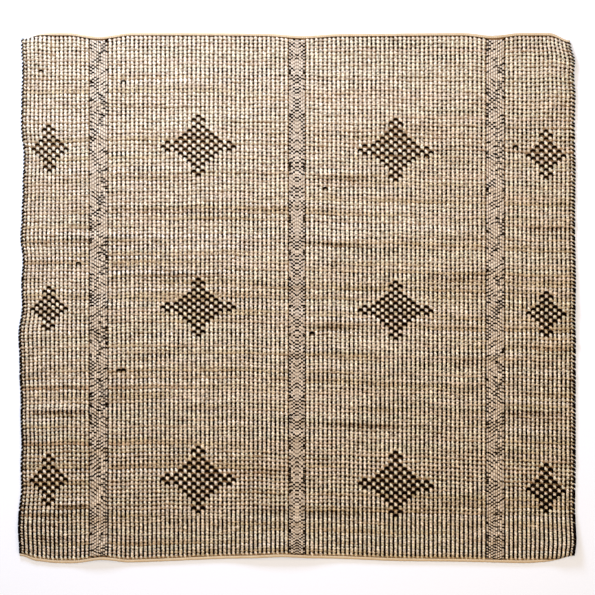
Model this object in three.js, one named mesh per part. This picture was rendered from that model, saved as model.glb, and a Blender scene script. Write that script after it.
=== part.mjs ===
// A nearly square flat-woven rug of jute and cotton cord, bound with cotton tape along its two ends.
// Millimetres. X runs along the wefts, Y along the warp cords and Z up. The rug lies on Z = 0.
import * as THREE from 'three';

// The rug as it lies.
const width = 1840; // selvedge to selvedge, along X
const length = 1754; // bound end to bound end, along Y
const clothThick = 8; // warp cords and wefts together
const selvedgeBulge = 3; // the wrapped outer cord stands this far past the flat faces

// The tape folded over each end.
const bindingWidth = 10;
const bindingHeight = 9;
const tapeThick = 1.6;
const tapeRound = 2.6; // rounding of the fold's outer corners
const fitGap = 0.3; // between the tape and the cloth inside it
const foldSpace = 1; // left between the cloth's end and the fold

// Where a corner turns down, the turn takes this much of the cloth before the binding.
const turnLength = 24;
const turnSteps = 4;
// A corner that turns down is held up this far into the rug.
const cornerRiseReach = 170;

// Spacing of the sections that the solids are built from.
const middleStep = 55;
const sideStep = 20;
const sideFineWidth = 100;
const rowStep = 36;

// An edge that draws in moves the cloth beside it too, this far into the rug.
const pullFade = 230;

// How far each edge draws in from a straight line: its place along the edge, depth and reach to each side.
const edgePulls = {
  top: [
    { at: -920, depth: 5, reach: 60 },
    { at: -652, depth: 14, reach: 110 },
    { at: 18, depth: 8, reach: 130 },
    { at: 100, depth: 3.5, reach: 500 },
    { at: 645, depth: 11, reach: 100 },
    { at: 920, depth: 26, reach: 83 },
  ],
  bottom: [
    { at: -920, depth: 15, reach: 60 },
    { at: -905, depth: 11, reach: 130 },
    { at: -645, depth: 13, reach: 100 },
    { at: -50, depth: 20, reach: 660 },
    { at: -50, depth: 4, reach: 110 },
    { at: 530, depth: 5, reach: 260 },
    { at: 830, depth: 4, reach: 90 },
    { at: 920, depth: 10, reach: 60 },
  ],
  left: [
    { at: 870, depth: 12, reach: 100 },
    { at: 770, depth: 14, reach: 100 },
    { at: 670, depth: 10, reach: 100 },
    { at: 570, depth: 8, reach: 100 },
    { at: 470, depth: 17, reach: 100 },
    { at: 370, depth: 14, reach: 100 },
    { at: 270, depth: 11, reach: 100 },
    { at: 120, depth: 14, reach: 130 },
    { at: -20, depth: 12, reach: 110 },
    { at: -230, depth: 4, reach: 120 },
    { at: -350, depth: 8, reach: 110 },
    { at: -480, depth: 11, reach: 130 },
    { at: -620, depth: 9, reach: 110 },
    { at: -850, depth: 4, reach: 80 },
  ],
  right: [
    { at: 860, depth: 18, reach: 80 },
    { at: 745, depth: 6, reach: 90 },
    { at: 570, depth: 3, reach: 150 },
    { at: 250, depth: 2, reach: 200 },
    { at: -50, depth: 2, reach: 120 },
    { at: -700, depth: 2, reach: 150 },
    { at: -877, depth: 8, reach: 90 },
  ],
};

// Low swells where the cloth stands off the floor: centre, reach along X and Y, and rise.
const swells = [
  { x: 280, y: 600, reachX: 420, reachY: 90, rise: 5 },
  { x: 850, y: 690, reachX: 160, reachY: 200, rise: 8 },
  { x: -330, y: 430, reachX: 560, reachY: 90, rise: 5 },
  { x: 300, y: 215, reachX: 460, reachY: 80, rise: 5 },
  { x: -100, y: 85, reachX: 620, reachY: 80, rise: 5 },
  { x: -600, y: -50, reachX: 240, reachY: 85, rise: 9 },
  { x: 140, y: -82, reachX: 260, reachY: 75, rise: 6 },
  { x: 860, y: -20, reachX: 190, reachY: 240, rise: 9 },
  { x: 330, y: -370, reachX: 520, reachY: 90, rise: 6 },
  { x: -300, y: -360, reachX: 330, reachY: 85, rise: 5 },
  { x: -820, y: -430, reachX: 230, reachY: 150, rise: 8 },
  { x: 480, y: -640, reachX: 330, reachY: 100, rise: 6 },
  { x: -480, y: -660, reachX: 300, reachY: 100, rise: 6 },
];

// Stretches of the bound ends that lift off the floor, at the twill bands.
const endLifts = [
  { end: 'top', x: -652, reachX: 110, reachY: 100, rise: 6 },
  { end: 'top', x: 12, reachX: 130, reachY: 90, rise: 5 },
  { end: 'top', x: 645, reachX: 110, reachY: 100, rise: 6 },
  { end: 'bottom', x: -650, reachX: 110, reachY: 110, rise: 12 },
  { end: 'bottom', x: -50, reachX: 220, reachY: 130, rise: 13 },
];

// How far the ends turn down at the corners, in degrees, and how far along the end the turn runs out.
const cornerTurns = [
  { end: 'top', side: -1, turn: 100, reach: 120 },
  { end: 'top', side: 1, turn: 30, reach: 80 },
  { end: 'bottom', side: -1, turn: 26, reach: 80 },
  { end: 'bottom', side: 1, turn: 100, reach: 150 },
];

const colours = {
  cloth: 0xa8967c, // natural jute, bleached cotton and black weft seen together
  binding: 0xdcc096, // unbleached cotton tape
};

const halfWidth = width / 2;
const halfLength = length / 2;
const clothEnd = halfLength - bindingWidth; // flat Y where the binding starts
const turnStart = clothEnd - turnLength;

// A soft hump of height 1 that is level at its top and at its foot.
function bell(distance, reach) {
  if (Math.abs(distance) >= reach) return 0;
  return Math.cos((Math.PI / 2) * (distance / reach)) ** 2;
}

function pullIn(edge, at) {
  return edgePulls[edge].reduce((sum, pull) => sum + pull.depth * bell(at - pull.at, pull.reach), 0);
}

// 1 at an edge, falling to 0 at pullFade from it.
function nearEdge(distance) {
  return Math.max(0, 1 - distance / pullFade) ** 2;
}

// Where a point of the flat cloth lies in plan.
function planPoint(flatX, flatY) {
  const left = pullIn('left', flatY) * nearEdge(flatX + halfWidth);
  const right = pullIn('right', flatY) * nearEdge(halfWidth - flatX);
  const bottom = pullIn('bottom', flatX) * nearEdge(flatY + halfLength);
  const top = pullIn('top', flatX) * nearEdge(halfLength - flatY);
  return { x: flatX + left - right, y: flatY + bottom - top };
}

// How far an end has turned down at a place along it, in radians.
function turnAngle(end, flatX) {
  const turns = cornerTurns.filter((corner) => corner.end === end);
  const degrees = turns.reduce(
    (sum, corner) => sum + corner.turn * bell(flatX - corner.side * halfWidth, corner.reach),
    0,
  );
  return THREE.MathUtils.degToRad(degrees);
}

// The drop of a turned end, from the flat cloth's underside to the lowest corner of its binding.
function turnDrop(angle) {
  if (angle === 0) return 0;
  const bend = (turnLength * (1 - Math.cos(angle))) / angle;
  return bend + bindingWidth * Math.sin(angle) - (bindingHeight / 2) * (1 - Math.abs(Math.cos(angle)));
}

// Height of the cloth's underside above the floor, before an end turns down.
function liftOff(flatX, flatY) {
  let lift = 0;
  for (const swell of swells) {
    lift += swell.rise * bell(flatX - swell.x, swell.reachX) * bell(flatY - swell.y, swell.reachY);
  }
  for (const edge of endLifts) {
    const fromEnd = edge.end === 'top' ? halfLength - flatY : halfLength + flatY;
    lift += edge.rise * bell(flatX - edge.x, edge.reachX) * bell(fromEnd, edge.reachY);
  }
  for (const end of ['top', 'bottom']) {
    const fromTurn = Math.max(0, end === 'top' ? turnStart - flatY : turnStart + flatY);
    lift += turnDrop(turnAngle(end, flatX)) * bell(fromTurn, cornerRiseReach);
  }
  return lift;
}

// The middle of the cloth's thickness at a flat place, and how far it leans down towards its end there.
function clothFrame(flatX, flatY) {
  const outward = flatY > 0 ? 1 : -1;
  const past = Math.abs(flatY) - turnStart;
  if (past <= 0) {
    const plan = planPoint(flatX, flatY);
    return { x: plan.x, y: plan.y, z: liftOff(flatX, flatY) + bindingHeight / 2, angle: 0, outward };
  }
  // The cloth bends in an arc over turnLength, and goes straight on inside the binding.
  const full = turnAngle(outward > 0 ? 'top' : 'bottom', flatX);
  const share = Math.min(1, past / turnLength);
  const straight = Math.max(0, past - turnLength);
  const start = planPoint(flatX, outward * turnStart);
  const finish = planPoint(flatX, outward * clothEnd);
  const pulled = finish.y - start.y - outward * turnLength;
  const angle = full * share;
  const forward = full > 0 ? (turnLength * Math.sin(angle)) / full : turnLength * share;
  const drop = full > 0 ? (turnLength * (1 - Math.cos(angle))) / full : 0;
  const lift = THREE.MathUtils.lerp(
    liftOff(flatX, outward * turnStart),
    liftOff(flatX, outward * clothEnd),
    share,
  );
  return {
    x: THREE.MathUtils.lerp(start.x, finish.x, share),
    y: start.y + pulled * share + outward * (forward + straight * Math.cos(full)),
    z: lift + bindingHeight / 2 - drop - straight * Math.sin(full),
    angle,
    outward,
  };
}

// A point beside a frame: outwards past it, and across the thickness.
function frameOffset(frame, outwards, across) {
  const lean = across * Math.sin(frame.angle);
  const forward = outwards * Math.cos(frame.angle);
  return new THREE.Vector3(
    frame.x,
    frame.y + frame.outward * (forward + lean),
    frame.z - outwards * Math.sin(frame.angle) + across * Math.cos(frame.angle),
  );
}

// Flat X of the sections, closer together near the selvedges where the corners turn.
function columnPlaces() {
  const inner = halfWidth - selvedgeBulge;
  const places = [];
  for (let side = 0; side < sideFineWidth; side += sideStep) places.push(-inner + side);
  const span = 2 * (inner - sideFineWidth);
  const steps = Math.round(span / middleStep);
  for (let step = 0; step <= steps; step += 1) places.push(-inner + sideFineWidth + (span * step) / steps);
  for (let side = sideFineWidth - sideStep; side >= 0; side -= sideStep) places.push(inner - side);
  return places;
}

// Flat Y of the cloth's rows from one end to the other, with the thickness at each.
function rowPlaces() {
  const rows = [];
  const tongue = bindingHeight - 2 * (tapeThick + fitGap);
  const tongueEnd = clothEnd + bindingWidth - tapeThick - foldSpace;
  rows.push({ y: -tongueEnd, thick: tongue }, { y: -clothEnd, thick: tongue });
  for (let step = 0; step < turnSteps; step += 1) {
    rows.push({ y: -clothEnd + (turnLength * step) / turnSteps, thick: clothThick });
  }
  const steps = Math.round((2 * turnStart) / rowStep);
  for (let step = 0; step <= steps; step += 1) {
    rows.push({ y: -turnStart + (2 * turnStart * step) / steps, thick: clothThick });
  }
  for (let step = turnSteps - 1; step >= 0; step -= 1) {
    rows.push({ y: clothEnd - (turnLength * step) / turnSteps, thick: clothThick });
  }
  rows.push({ y: clothEnd, thick: tongue }, { y: tongueEnd, thick: tongue });
  return rows;
}

// A closed solid through a row of loops that all have the same number of points.
// Loops and the triangles that cap them run anticlockwise seen from the last loop.
function loftSolid(loops, capTriangles) {
  const positions = [];
  const indices = [];
  const count = loops[0].length;
  for (const loop of loops) for (const point of loop) positions.push(point.x, point.y, point.z);
  for (let row = 0; row + 1 < loops.length; row += 1) {
    for (let side = 0; side < count; side += 1) {
      const next = (side + 1) % count;
      const [a, b] = [row * count + side, row * count + next];
      const [c, d] = [a + count, b + count];
      indices.push(a, b, d, a, d, c);
    }
  }
  const last = (loops.length - 1) * count;
  for (const [a, b, c] of capTriangles) {
    indices.push(a, c, b, last + a, last + b, last + c);
  }
  const geometry = new THREE.BufferGeometry();
  geometry.setAttribute('position', new THREE.Float32BufferAttribute(positions, 3));
  geometry.setIndex(indices);
  geometry.computeVertexNormals();
  return geometry;
}

// Cap of a sheet's loop: left bulge, upper face left to right, right bulge, lower face right to left.
function sheetCap(columnCount) {
  const over = (column) => 1 + column;
  const under = (column) => 2 * columnCount + 1 - column;
  const lastColumn = columnCount - 1;
  const triangles = [
    [0, over(0), under(0)],
    [over(lastColumn), columnCount + 1, under(lastColumn)],
  ];
  for (let column = 0; column < lastColumn; column += 1) {
    triangles.push([over(column), over(column + 1), under(column + 1)]);
    triangles.push([over(column), under(column + 1), under(column)]);
  }
  return triangles;
}

// The woven cloth: one sheet with rounded selvedges, pressed thinner inside the bindings.
function clothGeometry() {
  const columns = columnPlaces();
  const inner = halfWidth - selvedgeBulge;
  const underCloth = (bindingHeight - clothThick) / 2; // the sheet's faces sit this far inside the binding's
  const loops = rowPlaces().map(({ y, thick }) => {
    const pressed = thick < clothThick;
    const sink = pressed ? 0 : underCloth;
    const face = (x, side) => frameOffset(clothFrame(x, y), 0, (side * thick) / 2 - sink);
    const bulge = (side) => {
      const point = frameOffset(clothFrame(side * inner, y), 0, -sink);
      point.x += side * selvedgeBulge;
      return point;
    };
    const over = columns.map((x) => face(x, 1));
    const under = columns.map((x) => face(x, -1)).reverse();
    return [bulge(-1), ...over, bulge(1), ...under];
  });
  return loftSolid(loops, sheetCap(columns.length));
}

// The folded tape in section: outwards from the cloth, and across its thickness.
function bindingSection() {
  const half = bindingHeight / 2;
  const slot = half - tapeThick;
  const rounded = 0.3 * tapeRound;
  return [
    [fitGap, -half],
    [bindingWidth - tapeRound, -half],
    [bindingWidth - rounded, -half + rounded],
    [bindingWidth, -half + tapeRound],
    [bindingWidth, half - tapeRound],
    [bindingWidth - rounded, half - rounded],
    [bindingWidth - tapeRound, half],
    [fitGap, half],
    [fitGap, slot],
    [bindingWidth - tapeThick, slot],
    [bindingWidth - tapeThick, -slot],
    [fitGap, -slot],
  ];
}

function bindingGeometry(outward) {
  const section = bindingSection();
  const inner = halfWidth - selvedgeBulge;
  const sectionAt = (x, past) => {
    const frame = clothFrame(x, outward * clothEnd);
    frame.x += past;
    return section.map(([outwards, across]) => frameOffset(frame, outwards, across));
  };
  const loops = [
    sectionAt(-inner, -selvedgeBulge),
    ...columnPlaces().map((x) => sectionAt(x, 0)),
    sectionAt(inner, selvedgeBulge),
  ];
  // The section turns anticlockwise seen from +X on the top end, and from -X on the bottom end.
  if (outward < 0) loops.reverse();
  const outline = section.map(([outwards, across]) => new THREE.Vector2(outwards, across));
  return loftSolid(loops, THREE.ShapeUtils.triangulateShape(outline, []));
}

function fabricMesh(name, geometry, color) {
  const material = new THREE.MeshStandardMaterial({ color, roughness: 0.95, metalness: 0 });
  const mesh = new THREE.Mesh(geometry, material);
  mesh.name = name;
  return mesh;
}

const rug = new THREE.Group();
rug.add(fabricMesh('woven_cloth', clothGeometry(), colours.cloth));
rug.add(fabricMesh('top_binding', bindingGeometry(1), colours.binding));
rug.add(fabricMesh('bottom_binding', bindingGeometry(-1), colours.binding));

export default rug;
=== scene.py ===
import math

import bpy
import numpy as np
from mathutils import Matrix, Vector


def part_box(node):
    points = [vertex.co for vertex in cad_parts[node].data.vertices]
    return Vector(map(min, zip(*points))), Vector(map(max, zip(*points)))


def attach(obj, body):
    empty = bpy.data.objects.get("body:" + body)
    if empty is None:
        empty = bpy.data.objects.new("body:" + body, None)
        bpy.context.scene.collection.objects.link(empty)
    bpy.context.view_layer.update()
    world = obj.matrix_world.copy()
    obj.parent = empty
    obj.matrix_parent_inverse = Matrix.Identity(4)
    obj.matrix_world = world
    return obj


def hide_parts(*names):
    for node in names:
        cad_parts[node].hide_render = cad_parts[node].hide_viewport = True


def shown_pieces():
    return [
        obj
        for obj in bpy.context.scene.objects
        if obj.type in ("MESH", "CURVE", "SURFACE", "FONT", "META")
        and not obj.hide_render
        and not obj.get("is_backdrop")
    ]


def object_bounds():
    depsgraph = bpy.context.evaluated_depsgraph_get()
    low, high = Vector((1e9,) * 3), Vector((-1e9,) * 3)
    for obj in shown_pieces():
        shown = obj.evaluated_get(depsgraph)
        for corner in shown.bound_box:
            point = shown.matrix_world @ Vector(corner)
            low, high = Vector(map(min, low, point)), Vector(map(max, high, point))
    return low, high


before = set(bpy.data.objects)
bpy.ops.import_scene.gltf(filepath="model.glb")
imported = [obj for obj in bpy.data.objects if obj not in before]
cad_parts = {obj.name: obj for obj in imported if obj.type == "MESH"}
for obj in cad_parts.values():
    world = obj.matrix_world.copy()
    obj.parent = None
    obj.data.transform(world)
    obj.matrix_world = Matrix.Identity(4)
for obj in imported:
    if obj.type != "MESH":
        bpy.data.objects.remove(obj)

mm = 0.001
cadLow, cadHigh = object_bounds()
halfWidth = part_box("woven_cloth")[1][0]
halfLength = cadHigh[1]


# How the rug lies

lie = {
    "bindingWidth": 10 * mm,
    "middleHeight": 4.5 * mm,  # middle of the cloth's thickness above its underside
    "turnLength": 24 * mm,  # a corner bends down over this much cloth
    "cornerRiseReach": 170 * mm,  # the cloth lifts this far in from a turned corner
    "pullFade": 230 * mm,  # an edge's draw-in is felt this far into the cloth
}

# Each edge draws in from a straight line: place along it, depth, and reach to each side, in millimetres.
edgePulls = {
    "top": [(-920, 5, 60), (-652, 14, 110), (18, 8, 130), (100, 3.5, 500), (645, 11, 100), (920, 26, 83)],
    "bottom": [
        (-920, 15, 60), (-905, 11, 130), (-645, 13, 100), (-50, 20, 660), (-50, 4, 110), (530, 5, 260),
        (830, 4, 90), (920, 10, 60),
    ],
    "left": [
        (870, 12, 100), (770, 14, 100), (670, 10, 100), (570, 8, 100), (470, 17, 100), (370, 14, 100),
        (270, 11, 100), (120, 14, 130), (-20, 12, 110), (-230, 4, 120), (-350, 8, 110), (-480, 11, 130),
        (-620, 9, 110), (-850, 4, 80),
    ],
    "right": [
        (860, 18, 80), (745, 6, 90), (570, 3, 150), (250, 2, 200), (-50, 2, 120), (-700, 2, 150),
        (-877, 8, 90),
    ],
}

# Low swells: centre x and y, reach along x and y, and rise, in millimetres.
swells = [
    (280, 600, 420, 90, 5), (850, 690, 160, 200, 8), (-330, 430, 560, 90, 5), (300, 215, 460, 80, 5),
    (-100, 85, 620, 80, 5), (-600, -50, 240, 85, 9), (140, -82, 260, 75, 6), (860, -20, 190, 240, 9),
    (330, -370, 520, 90, 6), (-300, -360, 330, 85, 5), (-820, -430, 230, 150, 8), (480, -640, 330, 100, 6),
    (-480, -660, 300, 100, 6),
]

# Stretches of the ends that lift off the floor: end, x, reach along x and y, and rise.
endLifts = [
    (1, -652, 110, 100, 6), (1, 12, 130, 90, 5), (1, 645, 110, 100, 6),
    (-1, -650, 110, 110, 12), (-1, -50, 220, 130, 13),
]

# Corners that turn down: end, side, degrees, and reach along the end.
cornerTurns = [(1, -1, 100, 120), (1, 1, 30, 80), (-1, -1, 26, 80), (-1, 1, 100, 150)]

# Creases finer than the solid's swells: centre x and y, reach along x and y, and rise, in millimetres.
creases = [
    (150, 412, 190, 24, 4.7), (-690, 206, 190, 26, 5.0), (120, 190, 190, 24, 4.2), (-380, 82, 330, 24, 4.3),
    (540, 84, 190, 26, 3.0), (840, 262, 120, 26, 3.6), (-790, -368, 130, 24, 7.5), (760, -348, 150, 26, 4.0),
    (190, -402, 280, 26, 5.0), (-120, -566, 110, 26, 3.0), (-740, -683, 85, 18, 9.0),
    (-800, -712, 110, 28, 4.7), (120, -85, 130, 30, 4.6), (-500, -190, 130, 26, 2.9),
    (-430, 300, 420, 22, 2.5), (560, 520, 260, 26, 2.9), (-560, 640, 260, 24, 2.5), (60, -700, 300, 28, 3.6),
    (600, -190, 200, 24, 2.9), (780, -560, 120, 26, 4.0), (-850, -745, 130, 24, 4.0),
    (-830, -790, 150, 24, 4.0),
]

# Painted shade on the dark lower side of a crease, in millimetres: how far below its middle, and its reach.
creaseShade = {"below": 9, "reach": 15, "fullRise": 5}  # darkest where the crease rises this much

# Ripples all over: each wave's length along y and along x in millimetres, the sign giving its lean.
ripples = {
    "waves": [(34, 700), (43, -1100), (57, 1900), (71, -820), (96, 1300), (128, -2600)],
    "rise": 0.02,  # of the wave's length along y
    "start": 0.31,  # of a turn, times the square of the wave's number
    "patches": (7.0, 5.0, 1.7),  # how fast the rise comes and goes along x and y, and from wave to wave
    "quietEnd": 90 * mm,  # they fade out over this much cloth at each end
}


def bell(distance, reach):
    share = np.clip(np.abs(distance) / reach, 0, 1)
    return np.cos(math.pi / 2 * share) ** 2


def pullIn(edge, at):
    return sum(depth * mm * bell(at - place * mm, reach * mm) for place, depth, reach in edgePulls[edge])


def nearEdge(distance):
    return np.clip(1 - distance / lie["pullFade"], 0, 1) ** 2


def planPoint(x, y):
    left = pullIn("left", y) * nearEdge(x + halfWidth)
    right = pullIn("right", y) * nearEdge(halfWidth - x)
    bottom = pullIn("bottom", x) * nearEdge(y + halfLength)
    top = pullIn("top", x) * nearEdge(halfLength - y)
    return x + left - right, y + bottom - top


def turnAngle(end, x):
    degrees = sum(
        turn * bell(x - side * halfWidth, reach * mm)
        for turnEnd, side, turn, reach in cornerTurns
        if turnEnd == end
    )
    return np.radians(degrees)


def turnDrop(angle):
    safe = np.maximum(angle, 1e-6)
    bend = lie["turnLength"] * (1 - np.cos(angle)) / safe
    return bend + lie["bindingWidth"] * np.sin(angle) - lie["middleHeight"] * (1 - np.abs(np.cos(angle)))


def finerLift(x, y):
    lift = 0 * x
    for atX, atY, reachX, reachY, rise in creases:
        lift = lift + rise * mm * bell(x - atX * mm, reachX * mm) * bell(y - atY * mm, reachY * mm)
    patchX, patchY, patchStep = ripples["patches"]
    for number, (alongY, alongX) in enumerate(ripples["waves"]):
        turns = y / (alongY * mm) + x / (alongX * mm) + ripples["start"] * number**2
        swell = 0.5 + 0.5 * np.sin(patchX * x + patchY * y + patchStep * number)
        lift = lift + ripples["rise"] * alongY * mm * swell * np.sin(2 * math.pi * turns)
    quiet = np.clip((halfLength - np.abs(y)) / ripples["quietEnd"], 0, 1)
    return np.maximum(0, lift) * quiet


def creasePaintedShade(x, y):
    # painted shade on the lower side of each crease: there the jute wefts are drawn narrower and lower and
    # the black ones show
    depth = 0 * (x + y)
    for atX, atY, reachX, _, rise in creases:
        share = rise / creaseShade["fullRise"]
        below = bell(y - (atY - creaseShade["below"]) * mm, creaseShade["reach"] * mm)
        depth = depth + share * bell(x - atX * mm, reachX * mm) * below
    return np.minimum(1, depth)


def liftOff(x, y):
    lift = 0 * x
    for atX, atY, reachX, reachY, rise in swells:
        lift = lift + rise * mm * bell(x - atX * mm, reachX * mm) * bell(y - atY * mm, reachY * mm)
    for end, atX, reachX, reachY, rise in endLifts:
        lift = lift + rise * mm * bell(x - atX * mm, reachX * mm) * bell(halfLength - end * y, reachY * mm)
    lift = lift + finerLift(x, y)
    turnStart = halfLength - lie["bindingWidth"] - lie["turnLength"]
    for end in (1, -1):
        fromTurn = np.maximum(0, turnStart - end * y)
        lift = lift + turnDrop(turnAngle(end, x)) * bell(fromTurn, lie["cornerRiseReach"])
    return lift


def clothFrame(x, y):
    # the middle of the cloth at a flat place, and its lean towards the nearer end
    outward = np.where(y > 0, 1.0, -1.0)
    clothEnd = halfLength - lie["bindingWidth"]
    turnStart = clothEnd - lie["turnLength"]
    past = np.abs(y) - turnStart
    share = np.clip(past / lie["turnLength"], 0, 1)
    straight = np.maximum(0, past - lie["turnLength"])
    full = np.where(y > 0, turnAngle(1, x), turnAngle(-1, x))
    flatStart = np.where(past > 0, outward * turnStart, y)
    startX, startY = planPoint(x, flatStart)
    endX, endY = planPoint(x, outward * clothEnd)
    pulled = endY - startY - outward * lie["turnLength"]
    angle = full * share
    bent = full > 1e-6
    safe = np.where(bent, full, 1)
    forward = np.where(bent, lie["turnLength"] * np.sin(angle) / safe, lie["turnLength"] * share)
    drop = np.where(bent, lie["turnLength"] * (1 - np.cos(angle)) / safe, 0)
    lift = liftOff(x, flatStart) * (1 - share) + liftOff(x, outward * clothEnd) * share
    turned = past > 0
    placeX = np.where(turned, startX + (endX - startX) * share, startX)
    ahead = pulled * share + outward * (forward + straight * np.cos(full))
    placeY = np.where(turned, startY + ahead, startY)
    placeZ = lift + lie["middleHeight"] - np.where(turned, drop + straight * np.sin(full), 0)
    return placeX, placeY, placeZ, np.where(turned, angle, 0)


def clothPoint(x, y, height):
    # a point at a height above the cloth's underside
    x, y, height = np.broadcast_arrays(x, y, height)
    placeX, placeY, placeZ, angle = clothFrame(x, y)
    outward = np.where(y > 0, 1.0, -1.0)
    across = height - lie["middleHeight"]
    placeY = placeY + outward * across * np.sin(angle)
    return np.stack([placeX, placeY, placeZ + across * np.cos(angle)], axis=-1)


# The weave's layout

weave = {
    "rows": 146,
    "endMargin": 12 * mm,
    "selvedgeBulge": 3 * mm,
    "bands": [(-686.5, -624.6), (-27.7, 27.7), (624.6, 686.5)],  # left and right edges, in millimetres
    "columns": [16, 41, 41, 16],  # warp columns in each panel between the bands
    "bandCords": 8,
    "picksInRow": 2,
    "outermost": 4 * mm,  # this near the selvedge a weft gets little painted shade, and shows in full
    "outermostDepth": 0.15,  # as if it lay this deep, from 0 on top to 1 underneath
}

# How far the wefts sag below a straight line to the right and left of the first large star, by height.
sag = {
    "at": -326 * mm,
    "round": 150 * mm,
    "y": [-877, -596, -28, 500, 877],
    "right": [0, 0.0365, 0.0205, 0.0315, 0],
    "left": [0, 0.006, 0.016, 0.026, 0],
    "waves": [(1.2 * mm, 21, 3, 0), (0.8 * mm, 47, -11, 1.3)],  # rise, turning along x and y, and start
    "quietEnd": 60 * mm,
}

# Where the row numbers fall: rows stand wider apart in the lower stars and closer in the middle ones.
rowSpacing = {
    "numbers": [0, 22.5, 30.5, 38.5, 67.5, 75.5, 83.5, 115.5, 123.5, 131.5, 146],
    "places": [0, 22.26, 30.5, 38.74, 67.7, 75.5, 83.3, 114.46, 123.5, 132.54, 146],
    "uneven": 0.07,  # of a row
}

rowPitch = 2 * (halfLength - weave["endMargin"]) / weave["rows"]


def rowsDown(rows):
    places = np.interp(rows, rowSpacing["numbers"], rowSpacing["places"])
    return halfLength - weave["endMargin"] - rowPitch * places


rowPlaces = rowsDown(np.arange(weave["rows"]) + 0.5)
unevenRows = np.random.default_rng(5).uniform(-1, 1, weave["rows"] - 2)
rowPlaces[1:-1] += rowSpacing["uneven"] * rowPitch * unevenRows


def panelColumns():
    # the edges of every warp column, panel by panel between the bands
    inner = halfWidth - weave["selvedgeBulge"]
    starts = [-inner] + [right * mm for left, right in weave["bands"]]
    ends = [left * mm for left, right in weave["bands"]] + [inner]
    return [np.linspace(a, b, n + 1) for a, b, n in zip(starts, ends, weave["columns"])]


def weftY(x, y):
    # where a weft that is straight on the loom runs in the finished cloth
    away = np.sqrt((x - sag["at"]) ** 2 + sag["round"] ** 2) - sag["round"]
    heights = np.array(sag["y"]) * mm
    right = np.interp(y, heights, sag["right"])
    left = np.interp(y, heights, sag["left"])
    wave = sum(rise * np.sin(x * turnX + y * turnY + start) for rise, turnX, turnY, start in sag["waves"])
    quiet = np.clip((halfLength - np.abs(y)) / sag["quietEnd"], 0, 1)
    return y - away * np.where(x > sag["at"], right, left) + wave * quiet


def drift(rows, x, lengths, seed):
    # a smooth value from -1 to 1 along each yarn, different on every row
    turns = np.random.default_rng(seed).uniform(0, 2 * math.pi, (len(lengths), rows, 1))
    waves = [np.sin(2 * math.pi * x[None, :] / (length * mm) + turn) for length, turn in zip(lengths, turns)]
    return sum(waves) / len(waves)


# The stepped stars

stars = {
    "rows": [30, 75, 123],
    "large": [(1, 20), (2, 20)],  # panel and column of the centre
    "small": [(0, 6), (3, 9)],
}


def largeStar(across, down):
    # every other crossing of a diamond, with four longer points
    a, d = abs(across), abs(down)
    if (a + d) % 2:
        return False
    return a + d <= 6 or (a <= 1 and d <= 7) or (d <= 1 and a <= 7) or a + d == 8 and (a == 0 or d == 0)


def smallStar(across, down):
    # a smaller diamond, with longer points above and below
    a, d = abs(across), abs(down)
    return (a + d) % 2 == 0 and (a + d <= 4 or (a <= 1 and d <= 6))


def starFloats():
    # for each panel, the rows and columns where the black weft floats over the column
    panels = [np.zeros((weave["rows"], n), bool) for n in weave["columns"]]
    for shape, reach, centres in ((largeStar, 8, stars["large"]), (smallStar, 6, stars["small"])):
        for panel, column in centres:
            for row in stars["rows"]:
                for down in range(-reach, reach + 1):
                    for across in range(-reach, reach + 1):
                        inside = 0 <= column + across < weave["columns"][panel]
                        if inside and shape(across, down):
                            panels[panel][row + down, column + across] = True
    return panels


# Single black wefts that missed a few columns: panel, row, first column, and number of columns.
strays = [
    (0, 9, 4, 1), (0, 62, 13, 1), (1, 12, 3, 1), (1, 93, 2, 2), (2, 41, 4, 1), (2, 82, 1, 1), (3, 28, 2, 1),
]


# Meshes

def meshPiece(name, points, quads, caps, values=None):
    # a mesh from arrays: points, four-sided faces, and the many-sided faces that close tube ends
    faces = [quads.reshape(-1), caps.reshape(-1)]
    sizes = np.concatenate([np.full(len(quads), 4), np.full(len(caps), caps.shape[1] if len(caps) else 0)])
    corners = np.concatenate(faces).astype(np.int32)
    mesh = bpy.data.meshes.new(name)
    mesh.vertices.add(len(points))
    mesh.vertices.foreach_set("co", points.astype(np.float32).reshape(-1))
    mesh.loops.add(len(corners))
    mesh.loops.foreach_set("vertex_index", corners)
    mesh.polygons.add(len(sizes))
    starts = np.concatenate([[0], np.cumsum(sizes)[:-1]]).astype(np.int32)
    mesh.polygons.foreach_set("loop_start", starts)
    mesh.polygons.foreach_set("use_smooth", np.full(len(sizes), True))
    mesh.update(calc_edges=True)
    mesh.validate()
    if values is not None:
        yarn = mesh.attributes.new("yarn", "FLOAT_VECTOR", "POINT")
        yarn.data.foreach_set("vector", values.astype(np.float32).reshape(-1))
    piece = bpy.data.objects.new(name, mesh)
    bpy.context.collection.objects.link(piece)
    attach(piece, "root")
    return piece


def ringSection(sides, turn=0.0):
    angle = 2 * math.pi * (np.arange(sides) + turn) / sides
    return np.stack([np.cos(angle), np.sin(angle)], axis=-1)


def tubeFaces(tubes, stations, sides):
    # faces of a block of closed tubes whose points are laid out tube by tube, ring by ring; each ring's
    # points run anticlockwise as seen from the tube's far end, so that the faces look outwards
    tube = np.arange(tubes)[:, None, None] * stations * sides
    ring = np.arange(stations - 1)[None, :, None] * sides
    side = np.arange(sides)[None, None, :]
    near = tube + ring
    a, b = near + side, near + (side + 1) % sides
    quads = np.stack([a, b, b + sides, a + sides], axis=-1).reshape(-1, 4)
    first = tube[:, :, 0] + np.arange(sides)[None, ::-1]
    last = first[:, ::-1] + (stations - 1) * sides
    return quads, np.concatenate([first, last])


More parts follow.
